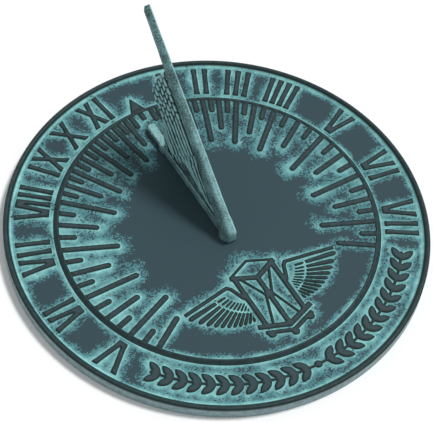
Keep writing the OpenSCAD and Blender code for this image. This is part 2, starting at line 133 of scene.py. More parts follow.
# The gnomon's plane: place of the nose, slope of the style and its depth, in millimetres
LATITUDE = math.radians(40.2)
NOSE_Y, NOSE_Z = -15.6, FIELD_Z + 8.3
STYLE_LEN = 142.5
STYLE_DEPTH, TIP_DEPTH = 11.5, 3.8
FLANGE_TOP_Z = FIELD_Z + 5.0
FOOT_MIDDLE = (0, -10.4, FIELD_Z + 3)
# The rear foot sets in between these distances along Y, and stays below this height
HEEL_START, HEEL_TOP_Z = (62, 66), FIELD_Z + 6
# The long feathers on the wing, and the short scales towards its end
FIRST_QUILL, QUILL_PITCH, SCALE_LEN = 12.2, 4.7, 5.2
# The long feathers break into streaks of this length
STREAK_LEN = 9
# The barbs waver over these distances along the style and across it
WAVER_ALONG, WAVER_ACROSS = 6, 3
# Along the style: where the feathers take over from the blade, and the scales from the feathers
TO_FEATHERS, TO_SCALES = (44, 50), (68, 76)
# The blade's upper and lower edge: depth below the style's upper edge, the place along the style
# where it has that depth, and how much deeper it lies for each millimetre from there on
BLADE_TOP, BLADE_FOOT = (12.7, 17.5, 0.36), (15.7, 16.4, 0.47)
# The foot's flare runs out between these distances from the foot's middle, and stands out so far
FLARE_REACH, FLARE_OUT = (9, 14), 0.7
# Rounds of softening at the foot and on every other edge
FOOT_ROUNDS, EDGE_ROUNDS = 40, 2
# Lumps of the casting: their size and height
LUMP, LUMP_H = 5.0, 0.12
# Height of the barbs, from 0 to 1, that lies on the imported wing, and that above which they carry a
# painted highlight and below which painted shade
BARB_ZERO, BARB_HIGHLIGHT = 0.6, 0.32
# How thick the gnomon's wash lies, and what each place adds to it or takes from it; most terms paint
# light and shade into it: highlights on edges, tops, crests and the heel's crown, shade on flanks and in
# grooves
WASH_AND_SHADING = {"base": 0.44, "style": 0.04, "east_edge": 0.35, "top": 0.14, "top_far": 0.2, "groove": 0.35,
        "barb": 2.4, "blade": 0.5, "heel": 0.25, "heel_crown": 0.5}

# Bake map: middle and radius of the top's disc, middle of the underside's disc and how many times
# smaller it is, and the strips of the wall above them
TOP_MIDDLE, TOP_RADIUS = 0.4, 0.39
UNDER_MIDDLE, UNDER_SHRINK = 0.895, 4
STRIPS, STRIP_LEFT, STRIP_LEN, STRIP_FOOT, STRIP_RISE = 3, 0.03, 0.8, 0.83, 0.05

# The sun, with its turn, height and softness in degrees, and the strength of the room's light
KEY = {"turn": 95, "height": 62, "softness": 14, "strength": 2.25}
ROOM_LEVEL = 0.42
# Radius of the floor, and how far it lies below the plate, in metres
FLOOR_R, FLOOR_DROP = 3.0, 0.1 * MM


def linear(code):
    """Linear colour from an sRGB hex code."""
    channels = [int(code[i:i + 2], 16) / 255 for i in (0, 2, 4)]
    return tuple(c / 12.92 if c <= 0.04045 else ((c + 0.055) / 1.055) ** 2.4 for c in channels) + (1.0,)


def length_property(name, description, millimetres):
    return bpy.props.FloatProperty(name=name, description=description, default=millimetres * MM,
                                   min=0.0, precision=5, unit="LENGTH")


def colour_property(name, description, code):
    return bpy.props.FloatVectorProperty(name=name, description=description, default=linear(code),
                                         size=4, min=0.0, max=1.0, subtype="COLOR")


class SundialSizes(bpy.types.PropertyGroup):
    """Sizes of the casting's detail that a user may change."""
    grid: length_property("Grid", "Distance between the plate's vertices away from the raised work", 1.45)
    draft: length_property("Draft", "How far a raised edge's foot runs out, as sand casting leaves it", 0.3)
    wash_reach: length_property("Wash reach", "How far the verdigris spreads from a raised edge", 6.0)
    skin: length_property("Gnomon skin", "Distance between the gnomon's vertices", 0.36)
    feather_depth: length_property("Feather depth", "Depth of the grooves between the gnomon's barbs", 0.7)


class SundialColours(bpy.types.PropertyGroup):
    """Colours of the lacquer, the wash and the stage."""
    lacquer: colour_property("Lacquer", "Dark slate lacquer on the flat iron", "31464D")
    relief: colour_property("Raised work", "Dark lacquer on the raised tops and edges", "1A2A2A")
    # Painted highlight: the lighter grey laid on the middles of the raised tops
    top_highlight: colour_property("Worn tops", "Lacquer on the raised tops, greyed by handling", "32454A")
    rubbed: colour_property("Rubbed wash", "Wash on the gnomon", "93C3C6")
    film: colour_property("Film", "Thin grey-green film on the plate's outer wall", "8CA5AA")
    verdigris: colour_property("Verdigris", "Full wash in the corners", "9EDEDC")
    verdigris_thin: colour_property("Thin verdigris", "Wash that is rubbed thin", "508288")
    zinc: colour_property("Zinc", "Zinc plating of the screws and washers", "B9BDC0")
    paper: colour_property("Paper", "Studio paper under the sundial", "FDFDFD")


def sizes():
    return bpy.context.scene.sundial_sizes


def colours():
    return bpy.context.scene.sundial_colours


def add_node(tree, kind, inputs=None, **settings):
    """Adds a node, sets its settings, and fills its inputs with values, sockets or nodes."""
    node = tree.nodes.new(kind)
    for key, value in settings.items():
        setattr(node, key, value)
    for key, value in (inputs or {}).items():
        if isinstance(value, bpy.types.Node):
            value = value.outputs[0]
        if isinstance(value, bpy.types.NodeSocket):
            tree.links.new(value, node.inputs[key])
        else:
            node.inputs[key].default_value = value
    return node


def new_material(name):
    """Empty node material, and coordinates in millimetres."""
    material = bpy.data.materials.new(name)
    material.use_nodes = True
    tree = material.node_tree
    tree.nodes.clear()
    place = add_node(tree, "ShaderNodeTexCoord").outputs["Object"]
    in_mm = add_node(tree, "ShaderNodeVectorMath", {0: place, "Scale": 1 / MM}, operation="SCALE")
    return material, tree, in_mm


def plate_material():
    """Sand-cast iron, dark lacquer, brushed verdigris wash.

    The sand gives a fine tooth, the lacquer a dull slate, and the wash a powdery blue-green
    that is solid beside every raised edge, thins out, and breaks into specks where it was wiped.
    """
    material, tree, in_mm = new_material("Sand-cast iron, verdigris wash over lacquer")
    palette = colours()
    reach = sizes().wash_reach / MM
    gap, rise, side = (add_node(tree, "ShaderNodeAttribute", attribute_name=name).outputs["Fac"]
                       for name in ("gap", "rise", "side"))
    cloud = add_node(tree, "ShaderNodeTexNoise", {"Vector": in_mm, "Scale": 1 / CLOUD, "Detail": 2.0})
    dab = add_node(tree, "ShaderNodeTexNoise", {"Vector": in_mm, "Scale": 1 / DAB, "Detail": 2.0})
    # The wash's own grains are under 0.2 mm, so they are drawn as wider flecks to show
    fleck = add_node(tree, "ShaderNodeTexVoronoi", {"Vector": in_mm, "Scale": 1 / FLECK})
    fleck = add_node(tree, "ShaderNodeSeparateColor", {0: fleck.outputs["Color"]})
    # Gap to the nearest raised edge, which the clouds and dabs move by some millimetres
    drift = add_node(tree, "ShaderNodeMath", {0: cloud, 1: CLOUD_DRIFT, 2: gap}, operation="MULTIPLY_ADD")
    drift = add_node(tree, "ShaderNodeMath", {0: dab, 1: DAB_DRIFT, 2: drift}, operation="MULTIPLY_ADD")
    zero = 0.5 * (CLOUD_DRIFT + DAB_DRIFT)
    # Share of flecks that took the wash: all of them beside an edge, fewer and fewer away from it
    cover = add_node(tree, "ShaderNodeMapRange",
                     {"Value": drift, "From Min": zero + 0.15 * reach, "From Max": zero + 1.6 * reach,
                      "To Min": 1.15, "To Max": -0.15})
    wash = add_node(tree, "ShaderNodeMath", {0: cover, 1: fleck}, operation="SUBTRACT")
    wash = add_node(tree, "ShaderNodeMapRange", {"Value": wash, "From Min": -0.14, "From Max": 0.14},
                    interpolation_type="SMOOTHSTEP")
    low = add_node(tree, "ShaderNodeMapRange",
                   {"Value": rise, "From Min": 0.2, "From Max": 0.55, "To Min": 1.0, "To Max": 0.0},
                   interpolation_type="SMOOTHSTEP")
    wash = add_node(tree, "ShaderNodeMath", {0: wash, 1: low}, operation="MULTIPLY")
    # Raised edges stay darkest, the tops' middles are greyed a little as a painted highlight, and the flat
    # is dark slate
    raised = add_node(tree, "ShaderNodeMapRange", {"Value": rise, "From Min": 0.1, "From Max": 0.4})
    iron = add_node(tree, "ShaderNodeMix", {0: raised, 6: palette.lacquer, 7: palette.relief},
                    data_type="RGBA").outputs[2]
    # On raised work the gap is measured inwards, so a stroke's middle gets the painted highlight
    middle = add_node(tree, "ShaderNodeMath", {0: dab, 1: TOP_HIGHLIGHT_DRIFT, 2: gap}, operation="MULTIPLY_ADD")
    middle = add_node(tree, "ShaderNodeMapRange", {"Value": middle, "From Min": 1.5, "From Max": 2.6})
    top = add_node(tree, "ShaderNodeMath", {0: rise, 1: TOP_RISE}, operation="GREATER_THAN")
    top_highlight = add_node(tree, "ShaderNodeMath", {0: middle, 1: top}, operation="MULTIPLY")
    iron = add_node(tree, "ShaderNodeMix", {0: top_highlight, 6: iron, 7: palette.top_highlight}, data_type="RGBA").outputs[2]
    # The outer wall is wiped nearly clean: only a thin even film stays on it
    film = add_node(tree, "ShaderNodeMapRange", {"Value": dab, "From Min": -0.4, "From Max": 0.6})
    film = add_node(tree, "ShaderNodeMath", {0: film, 1: side}, operation="MULTIPLY")
    iron = add_node(tree, "ShaderNodeMix", {0: film, 6: iron, 7: palette.film}, data_type="RGBA").outputs[2]
    # The wash is palest in the corners, where it was laid on thickest, in a line close to the edge
    thick = add_node(tree, "ShaderNodeMapRange", {"Value": drift, "From Min": zero - 1.0,
                                                  "From Max": zero + reach, "To Min": 1.0, "To Max": 0.0})
    corner = add_node(tree, "ShaderNodeMapRange", {"Value": gap, "From Min": 0.5, "From Max": 1.5,
                                                   "To Min": 0.5, "To Max": 0.0})
    thick = add_node(tree, "ShaderNodeMath", {0: thick, 1: corner}, operation="ADD")
    thick = add_node(tree, "ShaderNodeMath", {0: dab, 1: DAB_THICK, 2: thick}, operation="MULTIPLY_ADD")
    thick = add_node(tree, "ShaderNodeMapRange", {"Value": thick, "From Min": 1.3, "From Max": 2.8})
    pale = add_node(tree, "ShaderNodeMix", {0: thick, 6: palette.verdigris_thin, 7: palette.verdigris},
                    data_type="RGBA").outputs[2]
    colour = add_node(tree, "ShaderNodeMix", {0: wash, 6: iron, 7: pale}, data_type="RGBA").outputs[2]
    rough = add_node(tree, "ShaderNodeMapRange", {"Value": wash, "To Min": 0.5, "To Max": 0.8})
    tooth = add_node(tree, "ShaderNodeTexNoise", {"Vector": in_mm, "Scale": 1 / SAND, "Detail": 4.0,
                                                  "Roughness": 0.6})
    bump = add_node(tree, "ShaderNodeBump", {"Height": tooth, "Strength": 0.5, "Distance": 0.12 * MM})
    shader = add_node(tree, "ShaderNodeBsdfPrincipled", {"Base Color": colour, "Roughness": rough,
                                                         "Normal": bump, "Specular IOR Level": 0.15})
    add_node(tree, "ShaderNodeOutputMaterial", {"Surface": shader})
    return material


def bare_material():
    """Sand-cast iron, dark lacquer alone, as on the plate's underside.

    The lacquer is a dull near-black slate, and the sand's coarser tooth shows through it.
    """
    material, tree, in_mm = new_material("Sand-cast iron, dark lacquer")
    palette = colours()
    cloud = add_node(tree, "ShaderNodeTexNoise", {"Vector": in_mm, "Scale": 1 / POOL, "Detail": 2.0})
    tooth = add_node(tree, "ShaderNodeTexNoise", {"Vector": in_mm, "Scale": 1 / COARSE_SAND,
                                                  "Detail": 4.0, "Roughness": 0.6})
    colour = add_node(tree, "ShaderNodeMix", {0: cloud, 6: palette.relief, 7: palette.lacquer},
                      data_type="RGBA").outputs[2]
    rough = add_node(tree, "ShaderNodeMapRange", {"Value": cloud, "From Min": 0.2, "From Max": 0.8,
                                                  "To Min": 0.5, "To Max": 0.62})
    bump = add_node(tree, "ShaderNodeBump", {"Height": tooth, "Strength": 0.6, "Distance": 0.2 * MM})
    shader = add_node(tree, "ShaderNodeBsdfPrincipled", {"Base Color": colour, "Roughness": rough,
                                                         "Normal": bump, "Specular IOR Level": 0.15})
    add_node(tree, "ShaderNodeOutputMaterial", {"Surface": shader})
    return material


def gnomon_material():
    """Sand-cast iron, verdigris rubbed on by hand.

    The wash covers the gnomon in fine specks. Painted shade darkens it in the grooves and on the
    shaded flats, and painted highlights make it pale on crests and edges.
    """
    material, tree, in_mm = new_material("Sand-cast iron, rubbed verdigris")
    palette = colours()
    # The wash attribute holds the wash with painted highlights and painted shade in it
    wash = add_node(tree, "ShaderNodeAttribute", attribute_name="wash").outputs["Fac"]
    cloud = add_node(tree, "ShaderNodeTexNoise", {"Vector": in_mm, "Scale": 1 / CLOTH, "Detail": 2.0})
    powder = add_node(tree, "ShaderNodeTexNoise", {"Vector": in_mm, "Scale": 1 / POWDER, "Detail": 3.0,
                                                   "Roughness": 0.7})
    mixed = add_node(tree, "ShaderNodeMath", {0: cloud, 1: CLOTH_THICK, 2: wash}, operation="MULTIPLY_ADD")
    mixed = add_node(tree, "ShaderNodeMath", {0: powder, 1: POWDER_THICK, 2: mixed},
                     operation="MULTIPLY_ADD")
    cover = add_node(tree, "ShaderNodeMapRange", {"Value": mixed, "From Min": 1.05, "From Max": 2.05},
                     interpolation_type="SMOOTHSTEP")
    colour = add_node(tree, "ShaderNodeMix", {0: cover, 6: palette.relief, 7: palette.rubbed},
                      data_type="RGBA").outputs[2]
    rough = add_node(tree, "ShaderNodeMapRange", {"Value": cover, "To Min": 0.5, "To Max": 0.75})
    tooth = add_node(tree, "ShaderNodeTexNoise", {"Vector": in_mm, "Scale": 1 / SAND, "Detail": 4.0,
                                                  "Roughness": 0.6})
    bump = add_node(tree, "ShaderNodeBump", {"Height": tooth, "Strength": 0.5, "Distance": 0.14 * MM})
    shader = add_node(tree, "ShaderNodeBsdfPrincipled", {"Base Color": colour, "Roughness": rough,
                                                         "Normal": bump, "Specular IOR Level": 0.15})
    add_node(tree, "ShaderNodeOutputMaterial", {"Surface": shader})
    return material


def zinc_material():
    """Mild steel, bright zinc plated.

    A cool silvery metal with a slight bluish cloud, dulled by handling.
    """
    material, tree, in_mm = new_material("Mild steel, zinc plated")
    # Passivation clouds are about 1.5 mm across
    cloud = add_node(tree, "ShaderNodeTexNoise", {"Vector": in_mm, "Scale": 1 / 1.5, "Detail": 3.0})
    rough = add_node(tree, "ShaderNodeMapRange", {"Value": cloud, "From Min": 0.3, "From Max": 0.7,
                                                  "To Min": 0.28, "To Max": 0.45})
    bump = add_node(tree, "ShaderNodeBump", {"Height": cloud, "Strength": 0.4, "Distance": 0.02 * MM})
    shader = add_node(tree, "ShaderNodeBsdfPrincipled", {"Base Color": colours().zinc, "Roughness": rough,
                                                         "Normal": bump, "Metallic": 1.0})
    add_node(tree, "ShaderNodeOutputMaterial", {"Surface": shader})
    return material


def paper_material():
    """Matt studio paper: pale, with no sheen and a faint tooth of 2 mm."""
    material, tree, in_mm = new_material("Studio paper, matt")
    fibre = add_node(tree, "ShaderNodeTexNoise", {"Vector": in_mm, "Scale": 1 / 2, "Detail": 2.0})
    bump = add_node(tree, "ShaderNodeBump", {"Height": fibre, "Strength": 0.02, "Distance": MM})
    shader = add_node(tree, "ShaderNodeBsdfPrincipled", {"Base Color": colours().paper, "Roughness": 0.9,
                                                         "Normal": bump, "Specular IOR Level": 0.1})
    add_node(tree, "ShaderNodeOutputMaterial", {"Surface": shader})
    return material


class CastSurface:
    """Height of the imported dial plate's upper side, averaged as a casting softens it."""

    def __init__(self):
        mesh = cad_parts["dial_plate"].data
        self.tree = BVHTree.FromPolygons([v.co / MM for v in mesh.vertices],
                                         [tuple(p.vertices) for p in mesh.polygons])
        self.above = RIM_Z + 5

    def height(self, x, y):
        hit = self.tree.ray_cast((x, y, self.above), (0, 0, -1))[0]
        base = profile_height(math.hypot(x, y))
        return base if hit is None or hit.z < BAND_Z - HOLE_DROP else hit.z

    def patch(self, points, spread, count):
        """Heights at each point and at count places on a circle round it."""
        turns = np.arange(count) * 2 * math.pi / count
        circle = [(0.0, 0.0)] + [(spread * math.cos(t), spread * math.sin(t)) for t in turns]
        return np.array([[self.height(x + dx, y + dy) for dx, dy in circle] for x, y in points])


def profile_height(radius):
    """Height of the plate's turned profile, with no raised work."""
    radii, heights = zip(*TOP_PROFILE)
    return float(np.interp(radius, radii, heights))


def even_radii(stops):
    """Radii between (start, end, step) stretches, with both ends."""
    radii = []
    for start, end, spacing in stops:
        count = max(1, round((end - start) / spacing))
        radii += [start + (end - start) * i / count for i in range(count)]
    return radii + [stops[-1][1]]


def ring_of(bm, radius, height, sectors):
    if radius == 0:
        return [bm.verts.new((0, 0, height))] * sectors
    turns = [2 * math.pi * k / sectors for k in range(sectors)]
    return [bm.verts.new((radius * math.cos(t), radius * math.sin(t), height)) for t in turns]


def ring_at(bm, radius):
    """The sheet's vertices on a circle, in order, once the sheet has been divided."""
    found = [v for v in bm.verts if abs(v.co.xy.length - radius) < TOUCH]
    return sorted(found, key=lambda v: (math.atan2(v.co.y, v.co.x) + 1e-6) % (2 * math.pi))


def join_rings(bm, first, second, part):
    """Quads from ring to ring, or triangles where one of them is a point."""
    part_of = bm.faces.layers.int["part"]
    for k in range(len(first)):
        corners = [first[k], second[k], second[k - len(first) + 1], first[k - len(first) + 1]]
        corners = [c for i, c in enumerate(corners) if c not in corners[:i]]
        bm.faces.new(corners)[part_of] = part


def refine(bm, surface, cuts):
    """Divides the sheet's faces that lie near the edge of raised work."""
    verts = list(bm.verts)
    heights = surface.patch([v.co.xy for v in verts], EDGE_REACH, count=8)
    radii = np.array([v.co.xy.length for v in verts])
    rise = heights - np.array([profile_height(r) for r in radii])[:, None]
    near = (rise.max(1) > EDGE_STEP) & (rise.max(1) - rise.min(1) > EDGE_STEP)
    close = np.any([(radii > inner) & (radii < outer) for inner, outer in CLOSE_RINGS], axis=0)
    busy = {v for v, is_near, is_close in zip(verts, near, close) if is_near and not is_close}
    faces = [f for f in bm.faces if any(v in busy for v in f.verts)
             and not any(abs(v.co.xy.length - SEAM_R) < TOUCH for v in f.verts)]
    edges = list({e for f in faces for e in f.edges})
    bmesh.ops.subdivide_edges(bm, edges=edges, cuts=cuts, use_grid_fill=True)


def nearest_to(places):
    """Tree that finds the nearest of the given places on the sheet."""
    tree = KDTree(len(places))
    for i, place in enumerate(places):
        tree.insert(place.to_3d(), i)
    tree.balance()
    return tree


def wiped(distance, amount, start, full):
    """What harder wiping adds to the gap at a distance from the centre."""
    return amount * float(smooth(distance, start, full))


def lift(bm, surface, zone):
    """Gives the sheet its cast height, and its vertices the measures that the wash follows."""
    gap_of = bm.verts.layers.float["gap"]
    rise_of = bm.verts.layers.float["rise"]
    verts = list(bm.verts)
    heights = surface.patch([v.co.xy for v in verts], sizes().draft / MM, count=6).mean(1)
    radii = [v.co.xy.length for v in verts]
    raised = [h - profile_height(r) for h, r in zip(heights, radii)]
    half_up = 0.5 * RELIEF_H[zone]
    to_raised = nearest_to([v.co.xy for v, up in zip(verts, raised) if up > half_up])
    to_low = nearest_to([v.co.xy for v, up in zip(verts, raised) if up <= half_up])
    floor = FIELD_Z if zone == "field" else BAND_Z
    for v, height, radius, up in zip(verts, heights, radii, raised):
        v.co.z = height
        fade_h = RIM_FADE_H if radius > BAND_OUT_R else RING_FADE_H
        v[rise_of] = min(1.0, max(0.0, up / RELIEF_H[zone], (height - up - floor) / fade_h))
        if up > half_up:
            v[gap_of] = to_low.find(v.co.xy.to_3d())[2]
            continue
        to_relief = to_raised.find(v.co.xy.to_3d())[2]
        if zone == "field":
            to_wall = max(0.0, FIELD_R - radius)
        else:
            to_wall = max(0.0, min(radius - BAND_IN_R, BAND_OUT_R - radius))
        v[gap_of] = min(to_relief, WALL_GAP * to_wall + WALL_START)
        if zone == "field":
            v[gap_of] += wiped(v.co.y, *WIPED_NOON) + wiped(v.co.x, *WIPED_AFTERNOON)
            v[gap_of] *= 1 + wiped(-v.co.y, *WIPED_EMBLEM)
        else:
            v[gap_of] *= BAND_GAP + wiped(v.co.x, *WIPED_BAND)
        # The crests of the ring and the rim get the painted highlight on their tops
        if v[rise_of] > TOP_RISE:
            v[gap_of] = CREST_HIGHLIGHT


def new_sheet():
    bm = bmesh.new()
    bm.faces.layers.int.new("part")
    for name in ("gap", "rise", "side"):
        bm.verts.layers.float.new(name)
    return bm


TOP, WALL, UNDER = 0, 1, 2


def map_for_baking(bm):
    """Flat maps of the top and the underside, and the wall in three strips above them."""
    uv = bm.loops.layers.uv.new("OFBake")
    part_of = bm.faces.layers.int["part"]
    top_scale = TOP_RADIUS / PLATE_R
    for face in bm.faces:
        part = face[part_of]
        middle = face.calc_center_median()
        turn = math.atan2(middle.y, middle.x) % (2 * math.pi)
        strip = min(STRIPS - 1, int(turn / (2 * math.pi) * STRIPS))
        for loop in face.loops:
            x, y, z = loop.vert.co
            if part == TOP:
                loop[uv].uv = (TOP_MIDDLE + x * top_scale, TOP_MIDDLE + y * top_scale)
            elif part == UNDER:
                loop[uv].uv = (UNDER_MIDDLE + x * top_scale / UNDER_SHRINK,
                               TOP_MIDDLE - y * top_scale / UNDER_SHRINK)
            else:
                own = math.atan2(y, x) % (2 * math.pi)
                if own - turn > math.pi:
                    own -= 2 * math.pi
                elif turn - own > math.pi:
                    own += 2 * math.pi
                share = own / (2 * math.pi) * STRIPS - strip
                loop[uv].uv = (STRIP_LEFT + STRIP_LEN * share,
                               STRIP_FOOT + STRIP_RISE * strip + z * top_scale)


def make_piece(name, bm, materials, body="root", node=None):
    """Turns a mesh in millimetres into a piece of the sundial, in metres."""
    bmesh.ops.recalc_face_normals(bm, faces=bm.faces)
    bmesh.ops.scale(bm, vec=(MM, MM, MM), verts=bm.verts)
    mesh = bpy.data.meshes.new(name)
    bm.to_mesh(mesh)
    bm.free()
    for polygon in mesh.polygons:
        polygon.use_smooth = True
    mesh.set_sharp_from_angle(angle=SHARP_ANGLE)
    piece = bpy.data.objects.new(name, mesh)
    bpy.context.scene.collection.objects.link(piece)
    for material in materials:
        mesh.materials.append(material)
    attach(piece, body)
    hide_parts(node)
    return piece


def build_field(surface, materials):
    """The plate inside the ring: field, hour lines and emblem, with boss and bolt hole below."""
    step_mm = sizes().grid / MM
    bm = new_sheet()
    sectors = round(2 * math.pi * FIELD_R / step_mm)
    radii = even_radii([(0, BARE_R, BARE_STEP), (BARE_R, FIELD_R - 1, step_mm),
                        (FIELD_R - 1, SEAM_R, FIELD_CREST_STEP)])
    rings = [ring_of(bm, r, FIELD_Z, sectors) for r in radii]
    for inner, outer in zip(rings, rings[1:]):
        join_rings(bm, inner, outer, TOP)
    refine(bm, surface, cuts=2)
    lift(bm, surface, "field")
    under = [(SEAM_R, SEAM_UNDER_Z), (FIELD_R, FIELD_UNDER_Z), (BOSS_R, FIELD_UNDER_Z), (BOSS_R, 0),
             (BOLT_R, 0), (BOLT_R, BOLT_DEPTH), (0, BOLT_DEPTH)]
    last = ring_at(bm, SEAM_R)
    for i, (radius, height) in enumerate(under):
        ring = ring_of(bm, radius, height, sectors)
        join_rings(bm, last, ring, WALL if i == 0 else UNDER)
        last = ring
    map_for_baking(bm)
    return make_piece("dial_plate_field", bm, materials, node="dial_plate")


def build_band(surface, materials):
    """The plate outside the ring's crest: hour band, numerals, laurel, rim and skirt."""
    step_mm = sizes().grid / MM
    bm = new_sheet()
    sectors = round(2 * math.pi * BAND_GRID_R / step_mm)
    flat_in_r, flat_out_r = BAND_IN_R + SLOPE_MARGIN, BAND_OUT_R - SLOPE_MARGIN
    radii = even_radii([(SEAM_R, CREST_OUT_R, BAND_CREST_STEP), (CREST_OUT_R, flat_in_r, SLOPE_STEP),
                        (flat_in_r, flat_out_r, step_mm), (flat_out_r, RIM_OUT_R, RIM_STEP)])
    rings = [ring_of(bm, r, BAND_Z, sectors) for r in radii]
    for inner, outer in zip(rings, rings[1:]):
        join_rings(bm, inner, outer, TOP)
    refine(bm, surface, cuts=2)
    lift(bm, surface, "band")
    side_of = bm.verts.layers.float["side"]
    rise_of = bm.verts.layers.float["rise"]
    wall_top = RIM_Z - RIM_CHAMFER
    wall = [(PLATE_R, wall_top)] + [(PLATE_R, wall_top * k / 4) for k in (3, 2, 1, 0)]
    under = [(HOLLOW_R, 0), (HOLLOW_R, BAND_UNDER_Z), (BAND_IN_R, BAND_UNDER_Z), (SEAM_R, SEAM_UNDER_Z)]
    seam, last = ring_at(bm, SEAM_R), ring_at(bm, RIM_OUT_R)
    for part, outline in ((WALL, wall), (UNDER, under)):
        for radius, height in outline:
            ring = ring_of(bm, radius, height, sectors)
            for v in ring:
                v[rise_of] = 1.0
                v[side_of] = 1.0 if part == WALL and height < wall_top else 0.0
            join_rings(bm, last, ring, part)
            last = ring
    join_rings(bm, last, seam, WALL)
    map_for_baking(bm)
    return make_piece("dial_plate_band", bm, materials, node="dial_plate")


def paint_underside(piece):
    """Gives the faces that look down the bare lacquer."""
    for polygon in piece.data.polygons:
        if polygon.normal.z < -0.5 or polygon.center.z < BAND_UNDER_Z * MM and \
                polygon.center.xy.length < (HOLLOW_R + 1) * MM:
            polygon.material_index = 1


def style_place(points):
    """Place along the style and depth below its upper edge, from points in millimetres."""
    y, z = points[:, 1] - NOSE_Y, points[:, 2] - NOSE_Z
    along = y * math.cos(LATITUDE) + z * math.sin(LATITUDE)
    below = y * math.sin(LATITUDE) - z * math.cos(LATITUDE)
    return along, below


def style_depth(along):
    return STYLE_DEPTH + (TIP_DEPTH - STYLE_DEPTH) * along / STYLE_LEN


def wave(value):
    return 0.5 + 0.5 * np.cos(2 * math.pi * value)


def smooth(value, low, high):
    t = np.clip((value - low) / (high - low), 0, 1)
    return t * t * (3 - 2 * t)


def barbs(along, below, wobble):
    """Height, 0 to 1, of the wing's feathering: long streaks, and staggered scales after them."""
    place = (below - FIRST_QUILL + 0.8 * wobble) / QUILL_PITCH
    row = np.floor(place + 0.5)
    dashes = 0.75 + 0.25 * wave(along / STREAK_LEN + 0.37 * row + 0.6 * wobble)
    streaks = (0.65 * wave(place) ** 1.5 + 0.35 * wave(2 * place + 0.3)) * dashes
    run = (along + 0.5 * SCALE_LEN * (row % 2) + 1.2 * wobble) / SCALE_LEN
    run -= np.floor(run)
    scales = wave(place) ** 0.5 * (1 - run) ** 0.6 * smooth(run, 0.0, 0.12)
    to_scales = smooth(along + 2.5 * wobble, *TO_SCALES)
    return streaks * (1 - to_scales) + scales * to_scales


def soften(mesh, points, weight, rounds):
    """Moves each vertex towards its neighbours' mean, as far as its weight says."""
    ends = np.empty(len(mesh.edges) * 2, dtype=np.int32)
    mesh.edges.foreach_get("vertices", ends)
    first, second = ends[0::2], ends[1::2]
    degree = np.bincount(ends, minlength=len(points))[:, None]
    for _ in range(rounds):
        total = np.stack([np.bincount(first, points[second, k], len(points))
                          + np.bincount(second, points[first, k], len(points)) for k in range(3)], 1)
        points = points + 0.5 * weight[:, None] * (total / degree - points)
    return points


def below_edge(along, below, edge):
    """Depth below one of the blade's straight edges."""
    depth, start, slope = edge
    return below - (depth + slope * (along - start))


def vectors_of(mesh, key):
    """One vector for each vertex, such as its place or its normal."""
    values = np.empty(len(mesh.vertices) * 3)
    mesh.vertices.foreach_get(key, values)
    return values.reshape(-1, 3)


def skin_gnomon():
    """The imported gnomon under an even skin, fine enough for the feathers."""
    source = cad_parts["gnomon"].data.copy()
    piece = bpy.data.objects.new("gnomon_casting", source)
    bpy.context.scene.collection.objects.link(piece)
    bm = bmesh.new()
    bm.from_mesh(source)
    bmesh.ops.remove_doubles(bm, verts=bm.verts, dist=1e-6)
    bm.to_mesh(source)
    bm.free()
    remesh = piece.modifiers.new("Skin", "REMESH")
    remesh.mode = "VOXEL"
    remesh.voxel_size = sizes().skin
    evaluated = piece.evaluated_get(bpy.context.evaluated_depsgraph_get())
    mesh = bpy.data.meshes.new_from_object(evaluated)
    mesh.name = "gnomon_casting"
    piece.modifiers.clear()
    piece.data = mesh
    bpy.data.meshes.remove(source)
    if not mesh.vertices:
        raise RuntimeError("the gnomon's remesh came out empty")
    return piece


